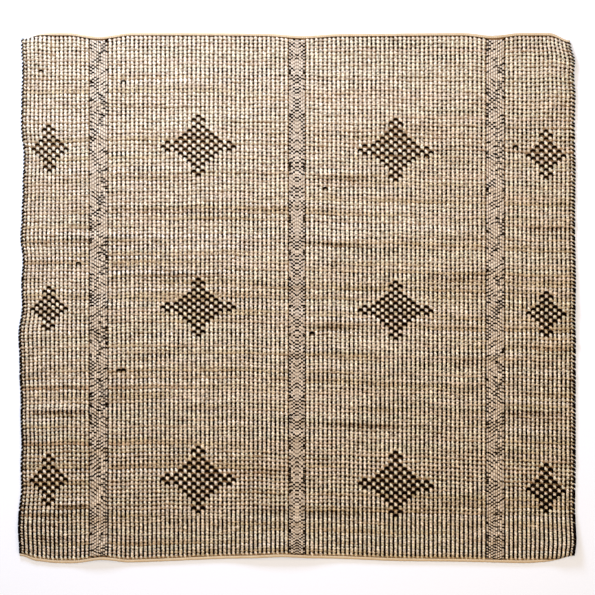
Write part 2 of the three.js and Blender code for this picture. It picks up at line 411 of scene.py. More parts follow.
def weftTubes(x, y, height, halfWide, halfHigh, section):
    # wefts side by side: arrays of rows by stations give the route and the yarn's half width and height
    runX = np.gradient(x, axis=1)
    runHeight = np.gradient(height, axis=1)
    long = np.sqrt(runX**2 + runHeight**2)
    leanX, leanUp = -runHeight / long, runX / long
    wide = halfWide[..., None] * section[:, 0]
    high = halfHigh[..., None] * section[:, 1]
    pointX = x[..., None] + leanX[..., None] * high
    pointHeight = height[..., None] + leanUp[..., None] * high
    return clothPoint(pointX, y[..., None] + wide, pointHeight)


def weftPiece(name, route, rows, section, material):
    x, y, height, wide, high = (part[rows] for part in route)
    sides = len(section)
    points = weftTubes(x, y, height, wide, high, np.array(section))
    quads, caps = tubeFaces(len(x), x.shape[1], sides)
    # what the materials read at each point: the place along the yarn, the row, and how deep the yarn lies,
    # which sets the jute's painted shade
    number = np.arange(weave["rows"])[rows]
    top, bottom = route[2].max(), route[2].min()
    depth = np.clip((top - height) / (top - bottom), 0, 1)
    depth = np.where(np.abs(x) > halfWidth - weave["outermost"], weave["outermostDepth"], depth)
    depth = depth[..., None] + np.zeros(sides)
    values = np.stack(np.broadcast_arrays(x[..., None], number[:, None, None] * 1.0, depth), axis=-1)
    piece = meshPiece(name, points.reshape(-1, 3), quads, caps, values=values.reshape(-1, 3))
    piece.data.materials.append(material)
    return piece


# Materials

def hexColor(code):
    parts = [int(code[i:i + 2], 16) / 255 for i in (1, 3, 5)]
    return [c / 12.92 if c <= 0.04045 else ((c + 0.055) / 1.055) ** 2.4 for c in parts] + [1.0]


def addNode(tree, kind, settings=None, inputs=None):
    node = tree.nodes.new(kind)
    for name, value in (settings or {}).items():
        setattr(node, name, value)
    for name, value in (inputs or {}).items():
        if isinstance(value, bpy.types.NodeSocket):
            tree.links.new(value, node.inputs[name])
        else:
            node.inputs[name].default_value = value
    return node


def newMaterial(name, roughness, sheen=0.0):
    material = bpy.data.materials.new(name)
    material.use_nodes = True
    shader = material.node_tree.nodes["Principled BSDF"]
    shader.inputs["Roughness"].default_value = roughness
    shader.inputs["Specular IOR Level"].default_value = 0.25
    shader.inputs["Sheen Weight"].default_value = sheen
    return material, material.node_tree, shader


def setRamp(node, stops):
    ramp = node.color_ramp
    while len(ramp.elements) < len(stops):
        ramp.elements.new(0.5)
    for element, (place, code) in zip(ramp.elements, stops):
        element.position = place
        element.color = hexColor(code)
    return node.outputs["Color"]


# Hand-spun jute, part bleached: cream with tan lengths that run on along each weft, dull, and
# ridged with fibres that twist round the yarn.
juteLook = {
    "stops": [
        (0.31, "#cbb092"), (0.4, "#ddd2b2"), (0.47, "#f0e4d4"), (0.54, "#ecead4"), (0.62, "#f8f0e4"),
        (0.72, "#fafaee"),
    ],
    "lengths": (0.75, 1.3),  # changes of tone to the metre along a weft, and to the row
    "slubs": (7.0, 2.1),
    "tufts": (75.0, 5.9),
    "tuftShade": {1: 0.3, 2: 0.7, 3: 0.8, 4: 1.14},  # noise from 1 to 2 gives a shade from 3 to 4
    "slubShare": 0.2,
    "calm": 0.5,  # this share of an even tone at the upper end, and none below these rows
    "calmRows": 40,
    "calmTone": 0.52,
    "dipShadeTint": "#836549",  # painted shade, with some black fluff, browns a weft where it dips between the cords
    "dipShadeShare": {1: 0.22, 2: 0.8, 3: 0.0, 4: 0.92},  # depth from 1 to 2 gives a share of painted shade from 3 to 4
    "strokeWide": 3.5 * mm,  # drawn coarser than real fibre, so that it shows
    "strokeLong": 9 * mm,
    "strokeShade": {1: 0.34, 2: 0.62, 3: 0.42, 4: 1.26},
    "strokeDepth": 0.9 * mm,
    "twist": math.radians(38),
    "roughness": 0.95,
}


def juteMaterial():
    material, tree, shader = newMaterial("bleachedJute", juteLook["roughness"])
    yarn = addNode(tree, "ShaderNodeAttribute", {"attribute_name": "yarn"})
    tones = []
    for name in ("lengths", "slubs", "tufts"):
        place = addNode(tree, "ShaderNodeVectorMath", {"operation": "MULTIPLY"}, {
            0: yarn.outputs["Vector"], 1: (*juteLook[name], 1)})
        tones.append(addNode(tree, "ShaderNodeTexNoise", inputs={
            "Vector": place.outputs[0], "Scale": 1.0, "Detail": 3.0, "Roughness": 0.55}))
    tone = addNode(tree, "ShaderNodeMix", inputs={
        0: juteLook["slubShare"], 2: tones[0].outputs["Fac"], 3: tones[1].outputs["Fac"]})
    parts = addNode(tree, "ShaderNodeSeparateXYZ", inputs={0: yarn.outputs["Vector"]})
    calm = addNode(tree, "ShaderNodeMapRange", inputs={
        0: parts.outputs[1], 1: 0.0, 2: juteLook["calmRows"], 3: juteLook["calm"], 4: 0.0})
    calmed = addNode(tree, "ShaderNodeMix", inputs={
        0: calm.outputs[0], 2: tone.outputs[0], 3: juteLook["calmTone"]})
    ramp = addNode(tree, "ShaderNodeValToRGB", inputs={0: calmed.outputs[0]})
    coords = addNode(tree, "ShaderNodeTexCoord")
    stretch = (1 / juteLook["strokeLong"], 1 / juteLook["strokeWide"], 1 / juteLook["strokeWide"])
    turned = addNode(tree, "ShaderNodeMapping", inputs={
        "Vector": coords.outputs["Object"], "Rotation": (0, 0, juteLook["twist"]), "Scale": stretch})
    strokes = addNode(tree, "ShaderNodeTexNoise", inputs={
        "Vector": turned.outputs[0], "Scale": 1.0, "Detail": 2.0, "Roughness": 0.6})
    shade = addNode(tree, "ShaderNodeMapRange", inputs={0: strokes.outputs["Fac"], **juteLook["strokeShade"]})
    tuft = addNode(tree, "ShaderNodeMapRange", inputs={0: tones[2].outputs["Fac"], **juteLook["tuftShade"]})
    both = addNode(tree, "ShaderNodeMath", {"operation": "MULTIPLY"}, {
        0: tuft.outputs[0], 1: shade.outputs[0]})
    shaded = addNode(tree, "ShaderNodeVectorMath", {"operation": "SCALE"}, {
        0: setRamp(ramp, juteLook["stops"]), 3: both.outputs[0]})
    # painted shade: the deeper a jute weft dips, the more its colour is mixed towards the brown tint
    dip = addNode(tree, "ShaderNodeMapRange", inputs={0: parts.outputs[2], **juteLook["dipShadeShare"]})
    colour = addNode(tree, "ShaderNodeMix", {"data_type": "RGBA"}, {
        0: dip.outputs[0], 6: shaded.outputs[0], 7: hexColor(juteLook["dipShadeTint"])})
    bump = addNode(tree, "ShaderNodeBump", inputs={
        "Strength": 0.8, "Distance": juteLook["strokeDepth"], "Height": strokes.outputs["Fac"]})
    tree.links.new(colour.outputs[2], shader.inputs["Base Color"])
    tree.links.new(bump.outputs[0], shader.inputs["Normal"])
    return material


# Black wool-like weft: brown-black, dull, with worn lengths that show lighter.
blackLook = {
    "stops": [(0.4, "#070200"), (0.58, "#0f0501"), (0.76, "#1f1108")],
    "lengths": (22.0, 5.3),  # changes of tone to the metre, and to the row
    "fibreWide": 1.1 * mm,
    "fibreLong": 9 * mm,
    "fibreDepth": 0.5 * mm,
    "roughness": 0.9,
}


def blackMaterial():
    material, tree, shader = newMaterial("blackWeft", blackLook["roughness"])
    shader.inputs["Specular IOR Level"].default_value = 0.05
    yarn = addNode(tree, "ShaderNodeAttribute", {"attribute_name": "yarn"})
    place = addNode(tree, "ShaderNodeVectorMath", {"operation": "MULTIPLY"}, {
        0: yarn.outputs["Vector"], 1: (*blackLook["lengths"], 1)})
    tone = addNode(tree, "ShaderNodeTexNoise", inputs={
        "Vector": place.outputs[0], "Scale": 1.0, "Detail": 2.0})
    coords = addNode(tree, "ShaderNodeTexCoord")
    stretch = (1 / blackLook["fibreLong"], 1 / blackLook["fibreWide"], 1 / blackLook["fibreWide"])
    turned = addNode(tree, "ShaderNodeMapping", inputs={"Vector": coords.outputs["Object"], "Scale": stretch})
    fibre = addNode(tree, "ShaderNodeTexNoise", inputs={
        "Vector": turned.outputs[0], "Scale": 1.0, "Detail": 2.0})
    ramp = addNode(tree, "ShaderNodeValToRGB", inputs={0: tone.outputs["Fac"]})
    bump = addNode(tree, "ShaderNodeBump", inputs={
        "Strength": 0.7, "Distance": blackLook["fibreDepth"], "Height": fibre.outputs["Fac"]})
    tree.links.new(setRamp(ramp, blackLook["stops"]), shader.inputs["Base Color"])
    tree.links.new(bump.outputs[0], shader.inputs["Normal"])
    return material


# Cotton warp: cream, three-ply, smoother than jute. The ground under the wefts is the same cord in shade.
cottonLook = {
    "light": "#fffaf0",
    "dark": "#f7e8cf",
    "ground": "#9c8263",
    "groundDark": "#6b5238",
    "patches": 60.0,  # to the metre
    "plyLong": 5 * mm,
    "plyDepth": 0.4 * mm,
    "sunkShade": {1: 0.0, 2: 1.0, 3: 1.0, 4: 0.35},  # depth from 1 to 2 gives a shade from 3 to 4
    "crossingShade": {1: -1.0, 2: 0.1, 3: 0.42, 4: 1.08},  # darkest where a cord goes under a weft
    "roughness": 0.85,
}


def cottonMaterial(name, light, dark):
    material, tree, shader = newMaterial(name, cottonLook["roughness"], 0.1)
    coords = addNode(tree, "ShaderNodeTexCoord")
    patches = addNode(tree, "ShaderNodeTexNoise", inputs={
        "Vector": coords.outputs["Object"], "Scale": cottonLook["patches"], "Detail": 4.0, "Roughness": 0.6})
    plies = addNode(tree, "ShaderNodeTexWave", {"bands_direction": "DIAGONAL"}, {
        "Vector": coords.outputs["Object"], "Scale": 0.2 / cottonLook["plyLong"], "Distortion": 2.0})
    colour = addNode(tree, "ShaderNodeMix", {"data_type": "RGBA"}, {
        0: patches.outputs["Fac"], 6: hexColor(dark), 7: hexColor(light)})
    yarn = addNode(tree, "ShaderNodeAttribute", {"attribute_name": "yarn"})
    parts = addNode(tree, "ShaderNodeSeparateXYZ", inputs={0: yarn.outputs["Vector"]})
    sunk = addNode(tree, "ShaderNodeMapRange", inputs={0: parts.outputs[2], **cottonLook["sunkShade"]})
    turns = addNode(tree, "ShaderNodeMath", {"operation": "MULTIPLY"}, {0: parts.outputs[1], 1: 2 * math.pi})
    between = addNode(tree, "ShaderNodeMath", {"operation": "COSINE"}, {0: turns.outputs[0]})
    crossing = addNode(tree, "ShaderNodeMapRange", inputs={
        0: between.outputs[0], **cottonLook["crossingShade"]})
    both = addNode(tree, "ShaderNodeMath", {"operation": "MULTIPLY"}, {
        0: sunk.outputs[0], 1: crossing.outputs[0]})
    shaded = addNode(tree, "ShaderNodeVectorMath", {"operation": "SCALE"}, {
        0: colour.outputs[2], 3: both.outputs[0]})
    bump = addNode(tree, "ShaderNodeBump", inputs={
        "Strength": 0.5, "Distance": cottonLook["plyDepth"], "Height": plies.outputs["Fac"]})
    tree.links.new(shaded.outputs[0], shader.inputs["Base Color"])
    tree.links.new(bump.outputs[0], shader.inputs["Normal"])
    return material


# Unbleached cotton tape: a fine plain weave, tan, with a slight sheen.
tapeLook = {
    "light": "#e7dabf",
    "dark": "#cfb790",
    "patches": 35.0,  # to the metre
    "thread": 1.1 * mm,
    "threadDepth": 0.5 * mm,
    "roughness": 0.8,
}


def tapeMaterial():
    material, tree, shader = newMaterial("cottonTape", tapeLook["roughness"], 0.2)
    coords = addNode(tree, "ShaderNodeTexCoord")
    patches = addNode(tree, "ShaderNodeTexNoise", inputs={
        "Vector": coords.outputs["Object"], "Scale": tapeLook["patches"], "Detail": 5.0, "Roughness": 0.65})
    threads = addNode(tree, "ShaderNodeTexWave", {"bands_direction": "X"}, {
        "Vector": coords.outputs["Object"], "Scale": 0.3 / tapeLook["thread"], "Distortion": 0.6})
    colour = addNode(tree, "ShaderNodeMix", {"data_type": "RGBA"}, {
        0: patches.outputs["Fac"], 6: hexColor(tapeLook["dark"]), 7: hexColor(tapeLook["light"])})
    bump = addNode(tree, "ShaderNodeBump", inputs={
        "Strength": 0.6, "Distance": tapeLook["threadDepth"], "Height": threads.outputs["Fac"]})
    tree.links.new(colour.outputs[2], shader.inputs["Base Color"])
    tree.links.new(bump.outputs[0], shader.inputs["Normal"])
    return material


# Wefts

juteWeft = {
    "low": 2.4 * mm,  # height of the yarn's middle where it passes under the ground
    "high": 5.9 * mm,
    "halfWide": 7.5 * mm,
    "halfWideLow": 3.2 * mm,
    "halfWideEnd": 4.4 * mm,  # leaves room for the black wefts round the outermost cords
    "halfHigh": 2.0 * mm,
    "edgeIn": 1.5 * mm,  # its turn stops this far inside the selvedge
    "turnIn": 3 * mm,
    "turnHigh": (0.1, 0.6),  # from 0 for low to 1 for high, as the next two
    "overGap": 0.2,  # how high it crosses a gap between two columns
    "underStar": 0.3,  # how high it runs under a star's black bars
    "looser": 0.04,  # higher than overGap by this much at the right selvedge
    "slant": 1.9 * mm,  # how far each float's left end stands above its right end, halved
    "shoulder": 0.12,  # of a column, from its middle to where the float bends down
    "starShoulder": 0.07,  # more than that in the stars
    "starWider": 0.8 * mm,
    "besideStar": 0.5 * mm,  # a float beside a black bar is pushed this far away from it
    "creaseNarrower": 0.3,  # of its width, where a crease's painted shade is full
    "creaseLower": 1.2 * mm,
    "unevenGap": 0.1,
    "unevenX": 0.8 * mm,
    "unevenWide": (0.14, 0.1),  # slowly along the yarn, and from float to float
    "unevenHeight": (0.4, 0.45),  # the same two, in millimetres
    "unevenY": (0.7, 1.6),
    "unevenSlant": 0.7,
    "section": [(0.98, -0.6), (0.55, 0.9), (-0.55, 0.9), (-0.98, -0.6)],
}

blackWeft = {
    "low": 2.0 * mm,
    "high": 6.9 * mm,
    "floatHigh": 8.0 * mm,
    "halfWide": 4.5 * mm,
    "floatHalfWide": 4.5 * mm,
    "halfHigh": 1.7 * mm,
    "edgeOut": 0.2 * mm,  # it goes round the outermost cord this far outside the cloth
    "turnIn": 5 * mm,
    "gapPart": 0.11,  # of a column, from a gap's middle to the edge of what shows there
    "columnPart": 0.22,  # and from a column's middle to where a float bends down
    "arch": 1.4 * mm,  # a float's middle lies this far above its row, and its ends the next value below it
    "archEnd": 0.9 * mm,
    "besideFloat": 0.72,  # how high it stands in a gap beside a float, from 0 for low to 1 for high
    "floatEnd": 0.5,  # how far a float's end is raised, of its middle
    "wrapHigh": 0.95,  # and where it goes round the outermost cord
    "wrapSlant": 0.36,  # of a row, between the two ends of what shows round the outermost cord
    "wrapWide": 0.85,  # the yarn's width round the right outermost cord, of a float's
    "sunkHigh": (0.6, 0.4),  # of its height: what a sunk yarn keeps, and what comes with showing
    "sunkWide": (0.4, 0.68),
    "unevenHeight": 0.3 * mm,
    "unevenWide": 0.12,
    "unevenHigh": 0.15,
    "unevenY": (0.8, 3.6),  # in the stars and elsewhere, in millimetres
    "section": [(0.95, 0.7), (-0.95, 0.7), (0, -1)],
}

# How much of the black weft shows between the jute floats, from 0 for sunk to 1 for all.
blackShow = {
    "all": 0.56,
    "long": 0.42,  # more and less in long lengths of a row
    "short": 0.12,  # and in short ones
    "odd": 0.06,  # more in every second row
    "chance": 0.36,  # between the most and the least at any one gap
    "runs": 0.24,  # more and less in runs down a gap
    "runRows": (5, 9),  # rows to a run: the fewest, and how many more at most
    "right": 0.16,  # more towards the right selvedge, and less towards the left one, as painted shade away from the light
    "lower": 0.45,  # more towards the lower end, and less towards the upper one, as painted shade away from the light
    "fold": 0.75,  # more at the lower left corner, as painted shade of its fold
    "foldReach": (300 * mm, 260 * mm),
    # more below a crease, as painted shade
    "crease": 0.7,
    "ends": 0.3,  # more beside the bindings, as painted shade where the ends turn down
    "endsReach": 110 * mm,
    "most": 1.4,
    "stars": 0.6,  # how far the stars' bars follow that painted shade to the right and lower end
}


def juteRoute(floats):
    # rows by stations: x, y, height, half width, half height
    columns = panelColumns()
    lastPanel = len(columns) - 1
    edge = halfWidth - juteWeft["edgeIn"]
    turned = edge - juteWeft["turnIn"]
    inside, outside = juteWeft["turnHigh"]
    # each station's x, how high the weft is there, its column or -1, and its panel
    stations = [(-turned, inside, -1, 0), (-edge, outside, -1, 0)]
    for number, edges in enumerate(columns):
        shoulder = juteWeft["shoulder"] * (edges[1] - edges[0])
        for i, middle in enumerate((edges[1:] + edges[:-1]) / 2):
            if i or number:
                stations.append((edges[i], juteWeft["overGap"] if i else 0.0, -1, number))
            stations += [(middle + side * shoulder, 1.0, i, number) for side in (-1, 1)]
        if number < lastPanel:
            stations.append((edges[-1], 0.0, -1, number))
    stations += [(edge, outside, -1, lastPanel), (turned, inside, -1, lastPanel)]
    stationX, over, column, panel = (np.array(part) for part in zip(*stations))
    rows = weave["rows"]
    x = np.repeat(stationX[None, :], rows, axis=0)
    up = np.repeat(over[None, :], rows, axis=0)
    shoulderSide = np.where(column >= 0, np.where(column == np.roll(column, 1), 1, -1), 0)
    under = np.zeros_like(up, bool)
    beside = np.zeros_like(up)
    starMates = np.zeros_like(up)
    columnPitch = columns[1][1] - columns[1][0]
    for at, (number, i) in enumerate(zip(panel, column)):
        if i >= 0:
            barred = floats[number][:, i]
            under[:, at] = barred
            beside[:-1, at] += barred[1:]
            beside[1:, at] -= barred[:-1]
            starMates[1:-1, at] = barred[2:] | barred[:-2]
    up[under] = juteWeft["underStar"]
    near = np.minimum(1, np.abs(beside) + starMates)
    gap = up == juteWeft["overGap"]
    swing = drift(rows, stationX, [310, 97, 41, 23], 11)
    thick = drift(rows, stationX, [520, 140, 33], 12)
    looser = juteWeft["looser"] * x / halfWidth
    up = np.where(gap, np.maximum(0, up + looser + juteWeft["unevenGap"] * swing), up)
    own = np.cumsum(column != np.roll(column, 1))  # both stations of a float share its chance
    chance = np.random.default_rng(13).uniform(-1, 1, (3, rows, own.max() + 1))[:, :, own]
    slide = shoulderSide * juteWeft["starShoulder"] * columnPitch * near + juteWeft["unevenX"] * chance[1]
    x = x + slide * up

    slow, each = juteWeft["unevenHeight"]
    height = juteWeft["low"] + (juteWeft["high"] - juteWeft["low"]) * up
    height = height + (slow * swing + each * chance[0]) * mm * up
    slow, each = juteWeft["unevenWide"]
    wide = juteWeft["halfWideLow"] + (juteWeft["halfWide"] - juteWeft["halfWideLow"]) * up
    wide = wide * (1 + slow * thick + each * chance[1]) + juteWeft["starWider"] * near * up
    high = juteWeft["halfHigh"] * (1 + slow * thick)
    # painted shade below the creases: the jute floats there are narrower and lower
    crease = creasePaintedShade(x, rowPlaces[:, None])
    wide = wide * (1 - juteWeft["creaseNarrower"] * crease * up)
    height = height - juteWeft["creaseLower"] * crease * up
    for turn in (slice(None, 4), slice(-4, None)):  # at the selvedges
        wide[:, turn] = np.minimum(wide[:, turn], juteWeft["halfWideEnd"])
    slow, each = juteWeft["unevenY"]
    y = weftY(x, rowPlaces[:, None]) + (slow * swing + each * chance[2]) * mm
    y = y - juteWeft["besideStar"] * beside * up
    y = y - juteWeft["slant"] * shoulderSide * up * (1 + juteWeft["unevenSlant"] * chance[0])
    return x, y, height, wide, high


def blackRoute(floats):
    # every column has four stations: its side of the gap before it, its two shoulders, and of the gap after
    columns = panelColumns()
    edge = halfWidth + blackWeft["edgeOut"]
    turned = edge - blackWeft["turnIn"]
    stations = []  # x, kind, column, panel, and the side of the column that a gap is on
    for number, edges in enumerate(columns):
        pitch = edges[1] - edges[0]
        fromGap, shoulder = blackWeft["gapPart"] * pitch, blackWeft["columnPart"] * pitch
        for i, middle in enumerate((edges[1:] + edges[:-1]) / 2):
            stations += [
                (edges[i] + fromGap, "gap", i, number, -1),
                (middle - shoulder, "column", i, number, 0),
                (middle + shoulder, "column", i, number, 0),
                (edges[i + 1] - fromGap, "gap", i, number, 1),
            ]
        if number < len(columns) - 1:  # under the band's cords
            band = columns[number + 1][0] - edges[-1]
            stations += [(edges[-1] + part * band, "under", 0, number, 0) for part in (0.1, 0.9)]
    # at the selvedges a turn round the outermost cord takes the place of the outermost gap
    leftTurn = [(-turned, "turn", 0, 0, 0), (-edge, "turn", 0, 0, 0)]
    rightTurn = [(edge, "turn", 0, 0, 0), (turned, "turn", 0, 0, 0)]
    stationX, kind, column, panel, side = zip(*(leftTurn + stations[1:-1] + rightTurn))
    stationX = np.array(stationX)
    rows = weave["rows"]
    rowY = rowPlaces[:, None]

    swing = drift(rows, stationX, [260, 83, 37, 19], 21)
    gapNumber = np.cumsum([what == "gap" and which < 0 for what, which in zip(kind, side)])
    chance = np.random.default_rng(22).uniform(0, 1, (2, rows, gapNumber.max() + 1))[:, :, gapNumber]
    runsLong, runsTurn = np.random.default_rng(24).uniform(0, 1, (2, gapNumber.max() + 1))[:, gapNumber]
    fewest, extra = blackShow["runRows"]
    runs = np.sin(2 * math.pi * (np.arange(rows)[:, None] / (fewest + extra * runsLong) + runsTurn))
    up = np.zeros((rows, len(stationX)))
    raised = np.zeros_like(up)
    starred = np.zeros_like(up, bool)
    beside = np.full_like(up, 0.5 * rowPitch)  # how far above its jute weft the black one runs
    none = np.zeros(rows, bool)
    for at, (what, number, i, which) in enumerate(zip(kind, panel, column, side)):
        barred = floats[number][:, i]
        if what == "gap":
            across = i + which
            other = floats[number][:, across] if 0 <= across < weave["columns"][number] else none
            up[:, at] = np.where(other & ~barred, blackWeft["besideFloat"], 1.0)
            beside[:, at] = np.where(barred | other, -blackWeft["archEnd"], beside[:, at])
            starred[:, at] = barred | other
            raised[:, at] = blackWeft["floatEnd"] * barred
        elif what == "column":
            up[:, at] = barred
            raised[:, at] = barred
            starred[:, at] = barred
            beside[:, at] = np.where(barred, blackWeft["arch"], beside[:, at])

    # each row shows more in some lengths than in others, and one here and there sinks out of sight
    odd = (np.arange(rows) % 2)[:, None]
    long = drift(rows, stationX, [2600, 900, 430], 23)
    show = blackShow["all"] + blackShow["long"] * long + blackShow["short"] * swing + blackShow["odd"] * odd
    show = show + blackShow["chance"] * (chance[0] - 0.5) + blackShow["runs"] * runs
    # painted shade: the black weft shows more away from the light, towards the right and the lower end, at
    # the folded lower left corner, below creases and beside the bindings
    lower = blackShow["right"] * stationX / halfWidth - blackShow["lower"] * rowY / halfLength
    foldX, foldY = blackShow["foldReach"]
    fold = bell(stationX + halfWidth, foldX) * bell(rowY + halfLength, foldY)
    crease = creasePaintedShade(stationX, rowY)
    ends = bell(halfLength - np.abs(rowY), blackShow["endsReach"])
    more = lower + blackShow["fold"] * fold + blackShow["crease"] * crease + blackShow["ends"] * ends
    show = np.clip(show + more, 0, blackShow["most"])
    show = np.where(starred, 1 + blackShow["stars"] * lower, show)
    for slant, outer in enumerate((1, 2)):  # over the outermost cord, aslant
        for at in (outer, -outer - 1):
            up[:, at], raised[:, at], show[:, at] = blackWeft["wrapHigh"], 1, 1
            beside[:, at] = blackWeft["wrapSlant"] * slant * rowPitch

    kept, shown = blackWeft["sunkHigh"]
    top = blackWeft["high"] + (blackWeft["floatHigh"] - blackWeft["high"]) * raised
    height = blackWeft["low"] + (top - blackWeft["low"]) * up * (kept + shown * show)
    height = height + blackWeft["unevenHeight"] * swing * up
    kept, shown = blackWeft["sunkWide"]
    wide = blackWeft["halfWide"] * (kept + shown * show) * (1 + blackWeft["unevenWide"] * swing)
    floatWide = 1 + blackWeft["unevenWide"] * swing + blackShow["stars"] * lower
    wide = np.where(raised > 0, blackWeft["floatHalfWide"] * floatWide, wide)
    wide[:, -3:-1] *= blackWeft["wrapWide"]
    high = blackWeft["halfHigh"] * (1 + blackWeft["unevenHigh"] * swing)
    x = np.repeat(stationX[None, :], rows, axis=0)
    inStar, elsewhere = blackWeft["unevenY"]
    jitter = np.where(starred, inStar, elsewhere) * (chance[1] - 0.5) * mm
    y = weftY(x, rowY) + beside + jitter
    return x, y, height, wide, high


def addWefts():
    floats = starFloats()
    jute, black = juteMaterial(), blackMaterial()
    route = juteRoute(floats)
    third = weave["rows"] // 3
    spans = {"Top": slice(0, third), "Middle": slice(third, 2 * third), "Bottom": slice(2 * third, None)}
    pieces = [
        weftPiece(f"juteWefts{name}", route, rows, juteWeft["section"], jute)
        for name, rows in spans.items()
    ]
    for panel, row, first, count in strays:
        floats[panel][row, first:first + count] = True
    route = blackRoute(floats)
    for name, rows in spans.items():
        pieces.append(weftPiece(f"blackWefts{name}", route, rows, blackWeft["section"], black))
    return pieces, jute, black


# The ground: the warp cords side by side, as one thin sheet between the wefts

ground = {
    "low": 3.1 * mm,
    "high": 5.0 * mm,
    "columns": 62,
    "rows": 150,
    "intoBinding": 7 * mm,
    "bendPlaces": [1, 0.75, 0.5, 0.25, 0],  # rows of the sheet where the ends turn down
}


def sheetPiece(name, flatX, flatY, lowHeight, highHeight):
    # a closed thin sheet over a grid of flat places
    x, y = np.meshgrid(flatX, flatY)
    over = clothPoint(x, y, highHeight)
    under = clothPoint(x, y, lowHeight)
    rows, columns = x.shape
    points = np.concatenate([over.reshape(-1, 3), under.reshape(-1, 3)])
    grid = np.arange(rows * columns).reshape(rows, columns)
    a, b, c, d = grid[:-1, :-1], grid[:-1, 1:], grid[1:, 1:], grid[1:, :-1]
    top = np.stack([a, b, c, d], axis=-1).reshape(-1, 4)
    shift = rows * columns
    bottom = np.stack([a, d, c, b], axis=-1).reshape(-1, 4) + shift
    rim = np.concatenate([grid[0, :], grid[1:, -1], grid[-1, -2::-1], grid[-2:0:-1, 0]])
    following = np.roll(rim, -1)
    side = np.stack([rim, rim + shift, following + shift, following], axis=-1)
    return meshPiece(name, points, np.concatenate([top, bottom, side]), np.zeros((0, 4), int))


def addGround():
    reach = panelColumns()[-1][-1]
    flatX = np.linspace(-reach, reach, ground["columns"])
    clothEnd = halfLength - lie["bindingWidth"]
    inner = clothEnd + ground["intoBinding"]
    bend = clothEnd - lie["turnLength"] * np.array(ground["bendPlaces"])
    body = np.linspace(-bend[0], bend[0], ground["rows"])
    flatY = np.concatenate([[-inner], -bend[::-1], body[1:-1], bend, [inner]])
    piece = sheetPiece("warpGround", flatX, flatY, ground["low"], ground["high"])
    piece.data.materials.append(cottonMaterial("warpInShade", cottonLook["ground"], cottonLook["groundDark"]))
    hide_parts("woven_cloth")
    return piece


# The twill bands: fine cream cords over the wefts, which show as black dots where a cord dips under

bandTwill = {
    "high": 5.9 * mm,
    "dip": 4.4 * mm,
    "halfWide": 0.49,  # of a cord's width with its gap
    "halfHigh": 1.6 * mm,
    "margin": 1.4 * mm,  # on each side of the eight cords
    "unevenHeight": 0.25 * mm,
    "unevenX": 0.35 * mm,
    "unevenWide": 0.1,
    "sides": 4,
    "period": [41, 45, 41],  # picks to a full repeat along each band
    "start": [21, 13, 1],
    "ladder": 1.4,  # cords on each side of the chequered line
    "ladderGaps": 0.26,  # share of its crossings that stay closed
    "turnPast": 0.7,  # cords past the outermost one at which the centre band's two lines turn back
    "slope": 0.7,  # picks that a dark line climbs for each cord
    "strayDots": 0.36,  # share of the other crossings on the dark lines that show the weft
    "strayDown": (0.6, 0.9),  # of that share at the upper end, and how much more at the lower end, as painted shade
    "darkFrom": 0.1,  # a dark line starts here, from -1 between two lines to 1 on one
    "edgeDots": 0.14,  # share of the two outer cords' crossings that show it as well
    "sink": (0.34, 0.44),  # how far a cord sinks, and how much more on a dark line
    "sinkDown": (0.8, 0.4),  # of that at the upper end, and how much more at the lower end, as painted shade
    "sinkChance": 0.15,
    "dotHalfWide": 2.5 * mm,
    "dotHalfHigh": 1.6 * mm,
    "dotHalfLong": 0.78,  # of a cord's width
    "dotUneven": (0.35, 0.9 * mm),  # of its size, and of its place
    "dotRings": [-1.0, 0.0, 1.0],
    "dotFat": [0.55, 1.0, 0.55],
    "dotHeight": [5.8 * mm, 6.7 * mm, 5.8 * mm],
}


def bandPattern(band):
    # picks by cords: where the black weft shows, how far each cord sinks between 0 and 1, the number of the
    # dark line that passes, and which way that line leans
    cords, picks = weave["bandCords"], weave["rows"] * weave["picksInRow"]
    pick, cord = np.meshgrid(np.arange(picks), np.arange(cords), indexing="ij")
    period = bandTwill["period"][band]
    part = (pick + bandTwill["start"][band]) % period
    slope = np.minimum(part, period - part) / (period / 2)  # 0 to 1 and back
    rising = np.where(part < period / 2, 1, -1)
    middle = (cords - 1) / 2
    if band == 1:  # two lines that cross in the middle
        away = np.abs(np.abs(cord - middle) - slope * (middle + bandTwill["turnPast"]))
        lean = np.where(cord > middle, 1, -1) * rising
    else:
        away = np.abs(cord - slope * (cords - 1))
        lean = rising
    ladder = away < bandTwill["ladder"]
    chance = np.random.default_rng(70 + band).uniform(0, 1, pick.shape)
    if band == 1:  # its figures are the same on both sides of the middle
        cord = np.minimum(cord, cords - 1 - cord)
        chance = np.take_along_axis(chance, cord, 1)
    dots = ladder & ((pick + cord) % 2 == 0) & (chance > bandTwill["ladderGaps"])
    down = pick / picks  # the black weft shows more, and the cords sink more, towards the lower end: painted shade away from the light
    line = pick + bandTwill["slope"] * lean * (np.arange(cords) - middle)
    dark = -np.cos(math.pi * line)
    upper, lower = bandTwill["strayDown"]
    stray = chance < bandTwill["strayDots"] * (upper + lower * down)
    dots |= ~ladder & stray & (dark > bandTwill["darkFrom"])
    dots |= (cord % (cords - 1) == 0) & (chance < bandTwill["edgeDots"])
    sunk, darker = bandTwill["sink"]
    upper, lower = bandTwill["sinkDown"]
    sink = np.where(ladder, 0.0, sunk + darker * dark) * (upper + lower * down)
    sink = sink + bandTwill["sinkChance"] * chance
    return dots, np.where(dots, 1.0, np.clip(sink, 0, 1)), line, np.where(ladder, 0, lean)


